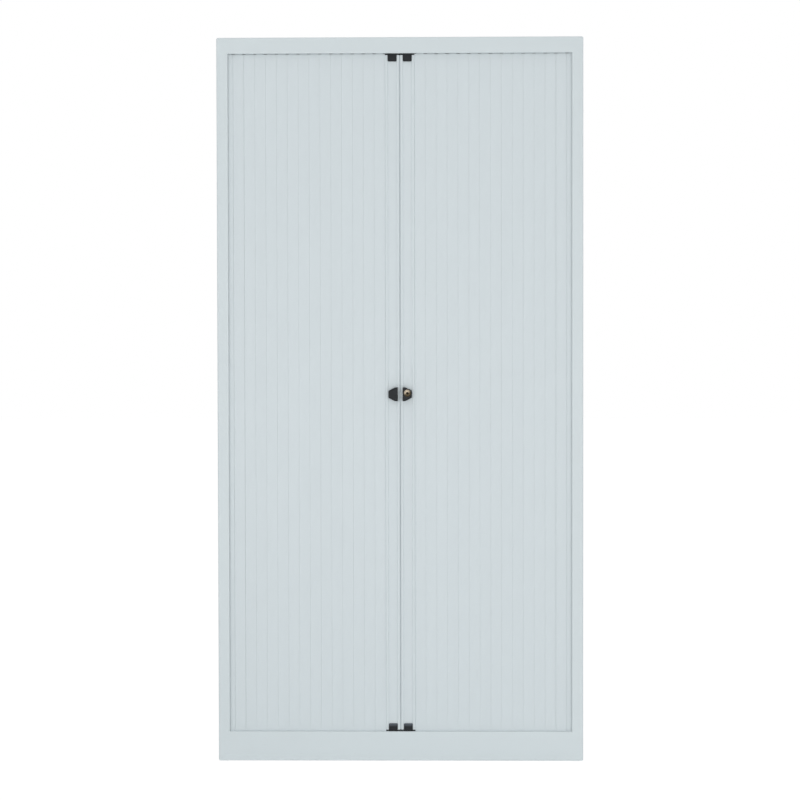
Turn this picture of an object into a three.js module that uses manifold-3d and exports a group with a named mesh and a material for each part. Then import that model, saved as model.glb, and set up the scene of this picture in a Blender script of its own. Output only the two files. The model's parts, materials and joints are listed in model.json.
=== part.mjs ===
// Tambour door cabinet: a tall sheet steel cupboard whose two slatted curtains part in the middle.
// Millimetres. +Z is up, +X is to the right seen from the front, and the front faces -Y.
// The origin is on the floor, in the middle of the box that holds the whole object.
import * as THREE from "three";
import { mergeVertices } from "three/addons/utils/BufferGeometryUtils.js";
import Module from "manifold-3d";

const wasm = await Module();
wasm.setup();

// Clearances
const seat = 0.3; // between pieces that bear on each other
const running = 0.5; // on each side of a piece that slides in a groove
const overrun = 5; // how far a cutting tool reaches past what it cuts

// The carcass as a whole
const width = 1000;
const depth = 430;
const height = 1980;
const sheet = 1; // steel of the carcass
const footProud = 2; // the feet reach this far below the panels
const stileWidth = 31; // front return of each side panel
const railHeight = 44.5;
const plinthTop = 82; // above the floor
const frontLip = 5; // turned in behind the front faces
const rearReturn = 20;
const topRadius = 6; // where the top turns down to the side panels
const lowRadius = 4.5; // lower outer edge of the side panels
const radiusSteps = 5;
const plinthFoot = 15; // bottom return of the plinth panel

// The curtains: slats hooked together, behind the front plane
const slatPitch = 29.65;
const slatGap = 0.3;
const slatDepth = 8;
const slatSkin = 2;
const slatRecess = 8; // slat face behind the front plane
const slatEdge = 0.4; // chamfer of the face
const slatTopGap = 0.8; // slat end below the rail's edge
const slatLap = 3; // slat end below the plinth's top edge
const tongueReach = 2.6; // hinge tongue, towards the leading edge
const tongueThickness = 2;
const socketDepth = 4; // what takes the next slat's tongue
const socketLip = 1.2;
const pinLength = 20; // guide pin of a slat, along the track
const pinDepth = 5;
const pinHeight = 10.5;
const centreGap = 2.4; // between the two closed doors
const openGap = 1; // between an open door's leading profile and the stile

// The leading profile of each door, and what is on it
const leadWidth = 38.8;
const leadDepth = 16;
const leadRecess = 6; // its face behind the front plane
const leadBand = 7; // raised band at each edge
const leadChannel = 2; // depth of the channel between the bands
const leadWall = 2.5;
const leadChamfer = 1;
const lapDepth = 4; // the left profile's lap, behind the faces
const lapReach = 3; // into the right profile's rebate
const lapThickness = 2;
const flangeHeight = 3.5;
const shoeHeight = 17.5; // the end shoes' blocks, which fill the channel's width
const shoeReach = 3; // forward of the profile's face
const shoeCorner = 3;

// Grips and lock
const gripWidth = 25.1;
const gripHeight = 37.5;
const gripDepth = 14;
const gripBevel = 2.2;
const gripInset = 5.4; // from the leading edge
const gripCentreHeight = 1007;
const gripOutlineShares = [
  [0, 0.5],
  [0.3, 0.5],
  [1, 0.26],
  [1, -0.26],
  [0.3, -0.5],
  [0, -0.5],
];
const barrelRadius = 10;
const barrelDome = 2; // the dome's height in front of the grip
const barrelBore = 0.2; // play round the barrel
const barrelInset = 18.5; // axis from the leading edge
const barrelRise = 2.8; // axis above the grip's middle
const bossRadius = 12.5; // round boss of the right grip, about the barrel
const keywayWidth = 1.6;
const keywayHeight = 8;
const keywayDepth = 6;
const spigotRadius = 4;
const spigotEnd = 2;
const hookThickness = 2.5;
const hookWidth = 14;
const hookTail = 9; // behind the axis
const hookTip = 8; // past the keeper's pin
const hookSlotPlay = 1;
const keeperPlate = 1.5;
const keeperWidth = 16;
const keeperHeight = 34;
const keeperInset = 12; // the pin from the left door's leading edge
const keeperPinRadius = 2.5;
const keeperHeadRadius = 4;
const keeperHead = 1.5;

// Guide tracks above and below the curtains
const trackHeight = 12;
const grooveDepth = 9;
const trackWall = 1.2; // outer wall of the side runs
const trackFrontRun = 24.5; // depth of the front run
const trackGap = 2; // top track above the rail's edge
const guideRadius = 16; // the inside of the corner
const guideSteps = 6;

// Base, linings and shelves
const panDrop = 15; // pan's top below the slats' ends
const panFlange = 15;
const footInsetX = 60;
const footInsetY = 70;
const footRadius = 20;
const footPad = 8;
const studRadius = 5;
const studPlay = 0.4;
const nutRadius = 9;
const nutHeight = 8;
const floorFlange = 12;
const lineGap = 2; // liner behind the track's front run
const slotWidth = 4.5;
const slotHeight = 20;
const slotPitch = 75;
const slotRise = 60; // first slot above the cabinet floor
const slotInset = 60; // slot columns from the liner's edges
const shelfEverySlots = 5;
const shelfSheet = 1;
const shelfPlay = 1.2; // beside the shelf's ends and back
const shelfSetback = 16; // shelf's front edge behind the liner's
const shelfFront = 25;
const shelfHem = 10;
const shelfRear = 15;
const hookTabWidth = 3.5;
const hookTabHeight = 16;
const hookTabReach = 5;
const hookTabDrop = 3;

// Places worked out from the sizes above
const gripReach = gripDepth + seat - leadRecess; // grip in front of the front plane
const frontReach = gripReach + barrelDome;
const frontY = (frontReach - depth) / 2;
const backY = frontY + depth;
const halfWidth = width / 2;
const stileX = halfWidth - stileWidth;
const sideInner = halfWidth - sheet;
const railZ = height - railHeight;
const plinthLip = slatRecess - running; // turned in to just before the slats
const topTurnZ = height - topRadius;
const topUnder = height - sheet;
const slatFaceY = frontY + slatRecess;
const slatBottom = plinthTop - slatLap;
const slatTop = railZ - slatTopGap;
const slatWidth = slatPitch - slatGap;
const leadFaceY = frontY + leadRecess;
const leadBackY = leadFaceY + leadDepth;
const leadX = centreGap / 2;
const firstSlatX = leadX + leadWidth + slatGap;
const shoeWidth = leadWidth - 2 * leadBand - 2 * seat;
const slatsPerDoor = Math.floor((sideInner - seat - firstSlatX) / slatPitch);
const doorTravel = stileX - openGap - leadWidth - leadX;
const panTop = slatBottom - panDrop - seat;
const trackBottomZ = panTop + seat;
const trackTopZ = railZ + trackGap;
const trackFrontY = frontY + sheet + seat;
const trackOuter = sideInner - seat;
const pinY = slatFaceY + (slatDepth - pinDepth) / 2;
const backPanelY = backY - sheet - seat; // its rear face
const innerBackY = backPanelY - sheet;
const linerFrontY = trackFrontY + trackFrontRun + lineGap;
const linerBackY = innerBackY - seat;
const linerInner = stileX;
const linerOuter = stileX + sheet;
const linerBottom = panTop + seat;
const linerTop = topUnder - seat;
const barrelX = leadX + barrelInset;
const barrelZ = gripCentreHeight + barrelRise;
const gripBackY = leadFaceY - seat;
const gripFrontY = gripBackY - gripDepth;
const keeperX = -(leadX + keeperInset);
const hookReach = barrelX - keeperX;
const hookY = leadBackY + seat + keeperPlate + running;

// Materials
const paint = { color: 0xcfd8dc, roughness: 0.45, metalness: 0.0 };
const slatPaint = { color: 0xced7db, roughness: 0.5, metalness: 0.0 };
const blackPlastic = { color: 0x26282a, roughness: 0.5, metalness: 0.0 };
const brass = { color: 0xa08a5c, roughness: 0.3, metalness: 1.0 };
const zinc = { color: 0xb4b8ba, roughness: 0.4, metalness: 1.0 };
const trackPlastic = { color: 0x8d9294, roughness: 0.6, metalness: 0.0 };

const cabinet = new THREE.Group();

function addPiece(name, geometry, look, group = cabinet) {
  const mesh = new THREE.Mesh(geometry, new THREE.MeshStandardMaterial(look));
  mesh.name = name;
  group.add(mesh);
  return mesh;
}

function toSolid(geometry) {
  const bare = geometry.clone();
  bare.deleteAttribute("normal");
  bare.deleteAttribute("uv");
  const merged = mergeVertices(bare, 1e-4);
  const vertProperties = new Float32Array(merged.attributes.position.array);
  const triVerts = new Uint32Array(merged.index.array);
  return new wasm.Manifold(new wasm.Mesh({ numProp: 3, vertProperties, triVerts }));
}

function toGeometry(solid) {
  const mesh = solid.getMesh();
  const geometry = new THREE.BufferGeometry();
  geometry.setAttribute("position", new THREE.BufferAttribute(mesh.vertProperties, 3));
  geometry.setIndex(new THREE.BufferAttribute(mesh.triVerts, 1));
  geometry.computeVertexNormals();
  return geometry;
}

function join(base, ...others) {
  const whole = others.reduce((sum, other) => sum.add(toSolid(other)), toSolid(base));
  return toGeometry(whole);
}

function cut(base, ...tools) {
  const rest = tools.reduce((left, tool) => left.subtract(toSolid(tool)), toSolid(base));
  return toGeometry(rest);
}

function box(x0, x1, y0, y1, z0, z1) {
  const geometry = new THREE.BoxGeometry(Math.abs(x1 - x0), y1 - y0, z1 - z0);
  return geometry.translate((x0 + x1) / 2, (y0 + y1) / 2, (z0 + z1) / 2);
}

function outline(points) {
  return new THREE.Shape(points.map(([a, b]) => new THREE.Vector2(a, b)));
}

// An outline in plan (x, y), drawn up from z0 to z1.
function upright(shape, z0, z1) {
  const geometry = new THREE.ExtrudeGeometry(shape, { depth: z1 - z0, bevelEnabled: false });
  return geometry.translate(0, 0, z0);
}

// An outline seen from the side (y, z), drawn across from -halfLength to halfLength.
function across(shape, halfLength) {
  const geometry = new THREE.ExtrudeGeometry(shape, { depth: 2 * halfLength, bevelEnabled: false });
  const turn = new THREE.Matrix4().makeBasis(
    new THREE.Vector3(0, 1, 0),
    new THREE.Vector3(0, 0, 1),
    new THREE.Vector3(1, 0, 0),
  );
  return geometry.applyMatrix4(turn).translate(-halfLength, 0, 0);
}

// An outline seen from the front (x, z), drawn back from y0 to y1.
function backward(shape, y0, y1, bevel = 0) {
  const geometry = new THREE.ExtrudeGeometry(shape, {
    depth: y1 - y0 - 2 * bevel,
    bevelEnabled: bevel > 0,
    bevelThickness: bevel,
    bevelSize: bevel,
    bevelOffset: -bevel,
    bevelSegments: 2,
  });
  return geometry.rotateX(Math.PI / 2).translate(0, y1 - bevel, 0);
}

// The outline of bent sheet: its outer face follows the points, its thickness lies to their left.
function bentSheet(points, thickness) {
  const outer = points.map(([a, b]) => new THREE.Vector2(a, b));
  const along = outer.slice(1).map((p, i) => p.clone().sub(outer[i]).normalize());
  const left = along.map((d) => new THREE.Vector2(-d.y, d.x));
  const inner = outer.map((p, i) => {
    const before = left[Math.max(i - 1, 0)];
    const after = left[Math.min(i, left.length - 1)];
    const mitre = before.clone().add(after);
    return p.clone().addScaledVector(mitre, (2 * thickness) / mitre.lengthSq());
  });
  return new THREE.Shape([...outer, ...inner.reverse()]);
}

// A quarter circle from a start angle, anticlockwise.
function quarter(x, y, radius, start) {
  return Array.from({ length: radiusSteps + 1 }, (_, i) => {
    const angle = start + ((Math.PI / 2) * i) / radiusSteps;
    return [x + radius * Math.cos(angle), y + radius * Math.sin(angle)];
  });
}

// The points of a piece on the right, or their mirror image for the left, in the same turning sense.
function mirrored(points, side) {
  const placed = points.map(([x, y]) => [side * x, y]);
  return side > 0 ? placed : placed.reverse();
}

// Side panel: wall, front stile and rear return from one bent sheet, and a lip beside the door opening.
function sidePanel(side) {
  const path = [
    [stileX, frontY],
    [halfWidth, frontY],
    [halfWidth, backY],
    [halfWidth - rearReturn, backY],
  ];
  const wall = upright(bentSheet(mirrored(path, side), sheet), footProud, topTurnZ - seat);
  const lipX = side > 0 ? stileX : -stileX - sheet;
  const lip = box(lipX, lipX + sheet, frontY, frontY + frontLip, plinthTop, railZ);
  const corner = [
    ...quarter(halfWidth - lowRadius, footProud + lowRadius, lowRadius, -Math.PI / 2),
    [halfWidth + overrun, footProud + lowRadius],
    [halfWidth + overrun, footProud - overrun],
    [halfWidth - lowRadius, footProud - overrun],
  ];
  const past = backward(outline(mirrored(corner, side)), frontY - overrun, backY + overrun);
  return cut(join(wall, lip), past);
}

// The top's outline from the front, drawn in by an inset, down to where the side panels begin.
function topOutline(inset) {
  const x = halfWidth - topRadius;
  const radius = topRadius - inset;
  return [
    ...quarter(x, topTurnZ, radius, 0),
    ...quarter(-x, topTurnZ, radius, Math.PI / 2),
  ];
}

// Top: a sheet rounded down to the side panels, closed front and rear, and the front rail below it.
function topPanel() {
  const reach = stileX - seat;
  const face = outline([
    ...topOutline(0),
    [-reach, topTurnZ],
    [-reach, railZ],
    [reach, railZ],
    [reach, topTurnZ],
  ]);
  const middle = sheet / 2;
  const lip = box(-reach, reach, frontY + middle, frontY + frontLip, railZ, railZ + sheet);
  const bend = outline([...topOutline(0), ...topOutline(sheet).reverse()]);
  const cover = backward(bend, frontY + middle, backY - middle);
  const front = backward(face, frontY, frontY + sheet);
  const rear = backward(outline(topOutline(0)), backY - sheet, backY);
  return join(cover, front, rear, lip);
}

function plinthPanel() {
  const path = [
    [frontY + plinthLip, plinthTop],
    [frontY, plinthTop],
    [frontY, footProud],
    [frontY + plinthFoot, footProud],
  ];
  return across(bentSheet(path, sheet), stileX - seat);
}

function backPanel() {
  const half = sideInner - seat;
  const shape = outline([...topOutline(sheet + seat), [-half, footProud], [half, footProud]]);
  return backward(shape, innerBackY, backPanelY);
}

const feet = [];
for (const hand of [-1, 1]) {
  for (const y of [frontY + footInsetY, backY - footInsetY]) {
    feet.push({ x: hand * (halfWidth - footInsetX), y });
  }
}

function roundBar(x, y, z0, z1, radius, sides = 24) {
  const bar = new THREE.CylinderGeometry(radius, radius, z1 - z0, sides);
  return bar.rotateX(Math.PI / 2).translate(x, y, (z0 + z1) / 2);
}

// Base pan: a sheet between the side panels, turned down front and back, with a nut for each foot.
function basePan() {
  const y0 = frontY + sheet + seat;
  const y1 = innerBackY - seat;
  const path = [
    [y0, panTop - panFlange],
    [y0, panTop],
    [y1, panTop],
    [y1, panTop - panFlange],
  ].reverse();
  const pan = across(bentSheet(path, sheet), sideInner - seat);
  const nuts = feet.map((f) =>
    roundBar(f.x, f.y, panTop - sheet - nutHeight, panTop, nutRadius, 6),
  );
  const bores = feet.map((f) =>
    roundBar(f.x, f.y, panTop - nutHeight - overrun, panTop + overrun, studRadius + studPlay),
  );
  return cut(join(pan, ...nuts), ...bores);
}

function foot({ x, y }) {
  const pad = roundBar(x, y, 0, footPad, footRadius);
  const stud = roundBar(x, y, footPad / 2, panTop - sheet, studRadius, 16);
  return join(pad, stud);
}

// Cabinet floor: a tray between the linings, standing on the pan on its turned edges.
function cabinetFloor() {
  const path = [
    [linerFrontY, plinthTop - floorFlange],
    [linerFrontY, plinthTop],
    [linerBackY, plinthTop],
    [linerBackY, plinthTop - floorFlange],
  ].reverse();
  const legs = [-1, 1].map((side) => {
    const x = side * (linerInner - seat);
    const inner = x - side * sheet;
    const low = panTop + seat;
    return box(Math.min(x, inner), Math.max(x, inner), linerFrontY, linerBackY, low, plinthTop - sheet);
  });
  return join(across(bentSheet(path, sheet), linerInner - seat), ...legs);
}

const slotRows = Math.floor((linerTop - plinthTop - slotRise) / slotPitch);
const shelfCount = Math.floor(slotRows / shelfEverySlots);
const slotColumns = [linerFrontY + slotInset, linerBackY - slotInset];
const slotZ = (row) => plinthTop + slotRise + row * slotPitch;

// Lining: a flat sheet that parts the goods from the curtain's pocket, slotted for the shelves.
function liner(side) {
  const x0 = side > 0 ? linerInner : -linerOuter;
  const panel = box(x0, x0 + sheet, linerFrontY, linerBackY, linerBottom, linerTop);
  const slots = [];
  for (const y of slotColumns) {
    for (let row = 0; row < slotRows; row += 1) {
      const half = slotWidth / 2;
      const z = slotZ(row);
      slots.push(box(x0 - overrun, x0 + sheet + overrun, y - half, y + half, z, z + slotHeight));
    }
  }
  return cut(panel, ...slots);
}

// Shelf: a folded tray whose end tabs hook through the linings' slots.
function shelf(number) {
  const row = number * shelfEverySlots - 1;
  const base = slotZ(row) + seat; // the tabs' lower edges
  const top = base + hookTabHeight;
  const half = linerInner - shelfPlay;
  const y0 = linerFrontY + shelfSetback;
  const y1 = innerBackY - shelfPlay;
  const path = [
    [y0 + shelfHem, top - shelfFront],
    [y0, top - shelfFront],
    [y0, top],
    [y1, top],
    [y1, top - shelfRear],
  ].reverse();
  const tray = across(bentSheet(path, shelfSheet), half);
  const tabs = [];
  for (const side of [-1, 1]) {
    for (const y of slotColumns) {
      const inner = side * (half - sheet);
      const outer = side * (linerOuter + hookTabReach);
      const x0 = Math.min(inner, outer);
      const x1 = Math.max(inner, outer);
      const yHalf = hookTabWidth / 2;
      const tab = box(x0, x1, y - yHalf, y + yHalf, base, top - shelfSheet / 2);
      const beak = side * (linerOuter + seat);
      const b0 = Math.min(beak, outer);
      const b1 = Math.max(beak, outer);
      tabs.push(tab, box(b0, b1, y - yHalf, y + yHalf, base - hookTabDrop, top - shelfSheet));
    }
  }
  return join(tray, ...tabs);
}

// Where the curtain runs in plan: across the front and back along each side.
function grooveOutline() {
  const frontGroove = pinY - running;
  const rearGroove = pinY + pinDepth + running;
  const outer = trackOuter - trackWall;
  const inner = outer - (rearGroove - frontGroove);
  const arc = (side) => {
    const points = [];
    for (let i = 0; i <= guideSteps; i += 1) {
      const angle = (i / guideSteps) * (Math.PI / 2);
      const x = inner - guideRadius + guideRadius * Math.sin(angle);
      const y = rearGroove + guideRadius - guideRadius * Math.cos(angle);
      points.push([side * x, y]);
    }
    return points;
  };
  const end = linerBackY + overrun;
  return outline([
    [-outer, end],
    [-outer, frontGroove],
    [outer, frontGroove],
    [outer, end],
    [inner, end],
    ...arc(1).reverse(),
    ...arc(-1),
    [-inner, end],
  ]);
}

function track(z0, openUp) {
  const inner = linerOuter + seat;
  const band = outline([
    [-trackOuter, linerBackY],
    [-trackOuter, trackFrontY],
    [trackOuter, trackFrontY],
    [trackOuter, linerBackY],
    [inner, linerBackY],
    [inner, trackFrontY + trackFrontRun],
    [-inner, trackFrontY + trackFrontRun],
    [-inner, linerBackY],
  ]);
  const z1 = z0 + trackHeight;
  const groove = openUp
    ? upright(grooveOutline(), z1 - grooveDepth, z1 + overrun)
    : upright(grooveOutline(), z0 - overrun, z0 + grooveDepth);
  return cut(upright(band, z0, z1), groove);
}

// Slat in plan: a skin at the front, a hinge tongue towards the leading edge, a socket at the other.
function slat(side, x) {
  const end = x + slatWidth;
  const back = slatDepth;
  const tongueFront = slatSkin + seat;
  const tongueBack = tongueFront + tongueThickness;
  const lipFront = tongueBack + running;
  const socket = end - socketDepth;
  const bodyStart = x + slatGap + socketLip;
  const points = [
    [x, slatEdge],
    [x + slatEdge, 0],
    [end - slatEdge, 0],
    [end, slatEdge],
    [end, slatSkin],
    [socket, slatSkin],
    [socket, lipFront],
    [end - socketLip, lipFront],
    [end - socketLip, lipFront + socketLip],
    [socket, back],
    [bodyStart, back],
    [bodyStart, tongueBack],
    [x - tongueReach, tongueBack],
    [x - tongueReach, tongueFront],
    [bodyStart, tongueFront],
    [bodyStart, slatSkin],
    [x, slatSkin],
  ].map(([u, v]) => [u, slatFaceY + v]);
  const body = upright(outline(mirrored(points, side)), slatBottom, slatTop);
  const middle = side * (x + slatWidth / 2);
  const half = pinLength / 2;
  const y1 = pinY + pinDepth;
  const pinLow = slatBottom - pinHeight + seat;
  const pin = box(middle - half, middle + half, pinY, y1, pinLow, slatTop + pinHeight);
  return join(body, pin);
}

// What closes the gap between the profiles: a lap on the left one, and its rebate in the right one.
function leadEdge(side) {
  const lapBack = lapDepth + lapThickness;
  return side < 0
    ? [
        [leadX, lapBack],
        [-leadX - lapReach, lapBack],
        [-leadX - lapReach, lapDepth],
        [leadX, lapDepth],
      ]
    : [
        [leadX, lapBack + running],
        [leadX + lapReach + running, lapBack + running],
        [leadX + lapReach + running, lapDepth - running],
        [leadX, lapDepth - running],
      ];
}

// Leading profile in plan: a channel in its face and a socket for the first slat's tongue.
function leadOutline(side) {
  const end = leadX + leadWidth;
  const edge = leadChamfer;
  const step = slatRecess - leadRecess;
  const tongueFront = step + slatSkin + seat;
  const socketFront = tongueFront - seat;
  const socketBack = tongueFront + tongueThickness + running;
  const points = [
    [leadX + edge, 0],
    [leadX + leadBand, 0],
    [leadX + leadBand, leadChannel],
    [end - leadBand, leadChannel],
    [end - leadBand, 0],
    [end - edge, 0],
    [end, edge],
    [end, socketFront],
    [end - socketDepth, socketFront],
    [end - socketDepth, socketBack],
    [end, socketBack],
    [end, leadDepth - edge],
    [end - edge, leadDepth],
    [leadX + edge, leadDepth],
    [leadX, leadDepth - edge],
    ...leadEdge(side),
    [leadX, edge],
  ].map(([u, v]) => [u, leadFaceY + v]);
  return outline(mirrored(points, side));
}

function leadProfile(side) {
  const shape = leadOutline(side);
  const chamberStart = leadX + lapReach + running + leadWall;
  const chamberEnd = leadX + leadWidth - socketDepth - leadWall;
  const chamber = [
    [chamberStart, leadChannel + leadWall],
    [chamberEnd, leadChannel + leadWall],
    [chamberEnd, leadDepth - leadWall],
    [chamberStart, leadDepth - leadWall],
  ].map(([u, v]) => [u, leadFaceY + v]);
  shape.holes.push(outline(mirrored(chamber, side)));
  const z0 = plinthTop + flangeHeight + 2 * seat;
  const z1 = railZ - flangeHeight - 2 * seat;
  return upright(shape, z0, z1);
}

function barrelBar(radius, y0, y1, sides = 32) {
  const bar = new THREE.CylinderGeometry(radius, radius, y1 - y0, sides);
  return bar.translate(barrelX, (y0 + y1) / 2, barrelZ);
}

// End shoe: a flange over the profile's end, a block in its channel and a guide pin for the track.
function endShoe(side, atTop) {
  const up = atTop ? -1 : 1; // from the flange towards the profile
  const edge = atTop ? railZ - seat : plinthTop + seat;
  const flangeEnd = edge + up * flangeHeight;
  const low = Math.min(edge, flangeEnd);
  const high = Math.max(edge, flangeEnd);
  const flange = upright(leadOutline(side), low, high);
  const middle = side * (leadX + leadWidth / 2);
  const half = shoeWidth / 2;
  const tip = edge + up * (shoeHeight + flangeHeight);
  const block = outline([
    [middle - half, low + (high - low) / 2],
    [middle + half, low + (high - low) / 2],
    [middle + half, tip - up * shoeCorner],
    [middle + half - shoeCorner, tip],
    [middle - half + shoeCorner, tip],
    [middle - half, tip - up * shoeCorner],
  ]);
  const shoeFront = leadFaceY - shoeReach;
  const blockSolid = backward(block, shoeFront, leadFaceY + leadChannel - seat);
  const root = box(middle - half, middle + half, shoeFront, leadFaceY + leadDepth / 2, low, high);
  const pinEnd = atTop ? slatTop + pinHeight : slatBottom - pinHeight + seat;
  const pinLow = Math.min(edge + up * (flangeHeight / 2), pinEnd);
  const pinHigh = Math.max(edge + up * (flangeHeight / 2), pinEnd);
  const pin = box(middle - half, middle + half, pinY, pinY + pinDepth, pinLow, pinHigh);
  return join(flange, root, blockSolid, pin);
}

function gripBlock(side) {
  const points = gripOutlineShares.map(([u, v]) => [
    side * (leadX + gripInset + u * gripWidth),
    gripCentreHeight + v * gripHeight,
  ]);
  const wedge = backward(outline(points), gripFrontY, gripBackY, gripBevel);
  const boss = barrelBar(bossRadius, gripFrontY, gripBackY, 48);
  return side > 0 ? join(wedge, boss) : wedge;
}

// Lock barrel: domed at the front, through the grip and the profile, with a spigot for the hook.
function lockBarrel() {
  const shoulder = hookY - seat;
  const tail = hookY + hookThickness + spigotEnd;
  const dome = new THREE.SplineCurve([
    new THREE.Vector2(barrelRadius, gripFrontY),
    new THREE.Vector2(barrelRadius * Math.SQRT1_2, gripFrontY - barrelDome * Math.SQRT1_2),
    new THREE.Vector2(0, gripFrontY - barrelDome),
  ]);
  const domePoints = dome.getPoints(6);
  domePoints[domePoints.length - 1].x = 0;
  const profile = [
    new THREE.Vector2(0, tail),
    new THREE.Vector2(spigotRadius, tail),
    new THREE.Vector2(spigotRadius, shoulder),
    new THREE.Vector2(barrelRadius, shoulder),
    ...domePoints,
  ];
  const turned = new THREE.LatheGeometry(profile.reverse(), 32);
  turned.translate(barrelX, 0, barrelZ);
  const keyHalf = keywayWidth / 2;
  const keyTop = keywayHeight / 2;
  const front = gripFrontY - barrelDome - overrun;
  const floor = gripFrontY - barrelDome + keywayDepth;
  const keyway = box(
    barrelX - keyHalf, barrelX + keyHalf, front, floor, barrelZ - keyTop, barrelZ + keyTop,
  );
  return cut(turned, keyway);
}

// Hook: an arm that stands up when unlocked and swings down over the keeper's pin.
function lockHook() {
  const half = hookWidth / 2;
  const rear = hookY + hookThickness;
  const arm = box(
    barrelX - half, barrelX + half, hookY, rear, barrelZ - hookTail, barrelZ + hookReach + hookTip,
  );
  const slotHalf = keeperPinRadius + hookSlotPlay;
  const pinZ = barrelZ + hookReach;
  const slot = box(
    barrelX - half - overrun,
    barrelX + slotHalf,
    hookY - overrun,
    rear + overrun,
    pinZ - slotHalf,
    pinZ + slotHalf,
  );
  const bore = barrelBar(spigotRadius + seat, hookY - overrun, rear + overrun, 24);
  return cut(arm, slot, bore);
}

// Keeper: a plate on the back of the left profile with a headed pin for the hook.
function lockKeeper() {
  const plateY = leadBackY + seat;
  const half = keeperWidth / 2;
  const tall = keeperHeight / 2;
  const plate = box(
    keeperX - half, keeperX + half, plateY, plateY + keeperPlate, barrelZ - tall, barrelZ + tall,
  );
  const pinEnd = hookY + hookThickness + running;
  const bar = (radius, y0, y1) => {
    const round = new THREE.CylinderGeometry(radius, radius, y1 - y0, 20);
    return round.translate(keeperX, (y0 + y1) / 2, barrelZ);
  };
  const pin = bar(keeperPinRadius, plateY + keeperPlate / 2, pinEnd + keeperHead / 2);
  return join(plate, pin, bar(keeperHeadRadius, pinEnd, pinEnd + keeperHead));
}

const sides = [
  { name: "left", side: -1 },
  { name: "right", side: 1 },
];

addPiece("top_panel", topPanel(), paint);
addPiece("plinth_panel", plinthPanel(), paint);
addPiece("back_panel", backPanel(), paint);
addPiece("base_pan", basePan(), paint);
addPiece("cabinet_floor", cabinetFloor(), paint);
addPiece("top_track", track(trackTopZ, false), trackPlastic);
addPiece("bottom_track", track(trackBottomZ, true), trackPlastic);
for (const { name, side } of sides) {
  addPiece(`${name}_side`, sidePanel(side), paint);
  addPiece(`${name}_liner`, liner(side), paint);
}
for (let number = 1; number <= shelfCount; number += 1) {
  addPiece(`shelf_${number}`, shelf(number), paint);
}
feet.forEach((place, i) => {
  addPiece(`foot_${i + 1}`, foot(place), blackPlastic);
});

for (const { name, side } of sides) {
  const door = new THREE.Group();
  cabinet.add(door);
  const passage = barrelBar(barrelRadius + barrelBore, gripFrontY - overrun, leadBackY + overrun);
  const locked = side > 0;
  const lead = leadProfile(side);
  const grip = gripBlock(side);
  addPiece(`${name}_lead`, locked ? cut(lead, passage) : lead, slatPaint, door);
  addPiece(`${name}_grip`, locked ? cut(grip, passage) : grip, blackPlastic, door);
  addPiece(`${name}_top_shoe`, endShoe(side, true), blackPlastic, door);
  addPiece(`${name}_bottom_shoe`, endShoe(side, false), blackPlastic, door);
  for (let k = 1; k <= slatsPerDoor; k += 1) {
    const x = firstSlatX + (k - 1) * slatPitch;
    addPiece(`${name}_slat_${k}`, slat(side, x), slatPaint, door);
  }
}
addPiece("lock_barrel", lockBarrel(), brass);
addPiece("lock_hook", lockHook(), zinc);
addPiece("lock_keeper", lockKeeper(), zinc);

console.log(`door travel ${doorTravel.toFixed(2)} mm`);

export default cabinet;
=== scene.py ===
"""A tall sheet steel cupboard with two slatted tambour curtains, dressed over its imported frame.

Lengths are in metres. +Z is up, +X is to the right seen from the front, and the front faces -Y.
"""
import json
import math

import bmesh
import bpy
from mathutils import Matrix, Vector


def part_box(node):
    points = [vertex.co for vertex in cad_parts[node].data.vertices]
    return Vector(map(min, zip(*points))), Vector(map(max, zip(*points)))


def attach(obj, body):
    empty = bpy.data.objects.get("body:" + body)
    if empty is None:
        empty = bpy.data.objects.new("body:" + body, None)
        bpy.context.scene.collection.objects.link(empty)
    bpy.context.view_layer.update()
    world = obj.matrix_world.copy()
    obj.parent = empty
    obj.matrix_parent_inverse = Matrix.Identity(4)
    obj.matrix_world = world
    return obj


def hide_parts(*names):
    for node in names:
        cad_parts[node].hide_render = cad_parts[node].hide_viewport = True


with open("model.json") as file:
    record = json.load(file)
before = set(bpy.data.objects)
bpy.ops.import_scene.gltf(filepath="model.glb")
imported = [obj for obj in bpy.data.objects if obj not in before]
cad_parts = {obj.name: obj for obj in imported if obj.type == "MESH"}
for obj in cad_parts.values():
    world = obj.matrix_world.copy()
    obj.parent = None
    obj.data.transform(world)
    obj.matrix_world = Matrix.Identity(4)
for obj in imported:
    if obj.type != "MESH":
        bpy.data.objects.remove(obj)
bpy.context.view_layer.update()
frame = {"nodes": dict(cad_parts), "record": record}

# Carcass. Its boxes are read from the frame, as are the other pieces' below.
RIGHT_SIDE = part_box("right_side")
TOP_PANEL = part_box("top_panel")
BACK_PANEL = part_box("back_panel")
FRONT = RIGHT_SIDE[0].y
BACK = RIGHT_SIDE[1].y
HALF_WIDTH = RIGHT_SIDE[1].x
STILE_X = RIGHT_SIDE[0].x
CARCASS_LOW = RIGHT_SIDE[0].z
RAIL_Z = TOP_PANEL[0].z
TOP = TOP_PANEL[1].z
PLINTH_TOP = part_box("plinth_panel")[1].z
SHEET = 0.001  # thickness of all sheet
BEND = 0.0008  # inside radius of a small bend
CORNER = 0.0025  # inside radius of the carcass's upright corners
TOP_RADIUS = 0.006  # where the top turns down
TOP_STEPS = 7
LOW_RADIUS = 0.0045  # lower corners of the side panels
LIP = 0.005  # turned in behind the stiles and the rail
PLINTH_LIP = 0.0075
REAR_RETURN = 0.020
PLINTH_FOOT = 0.015
WELD_LAP = 0.002  # how far two welded sheets run into each other
EDGE = 0.00025  # broken edge of cut sheet

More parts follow.
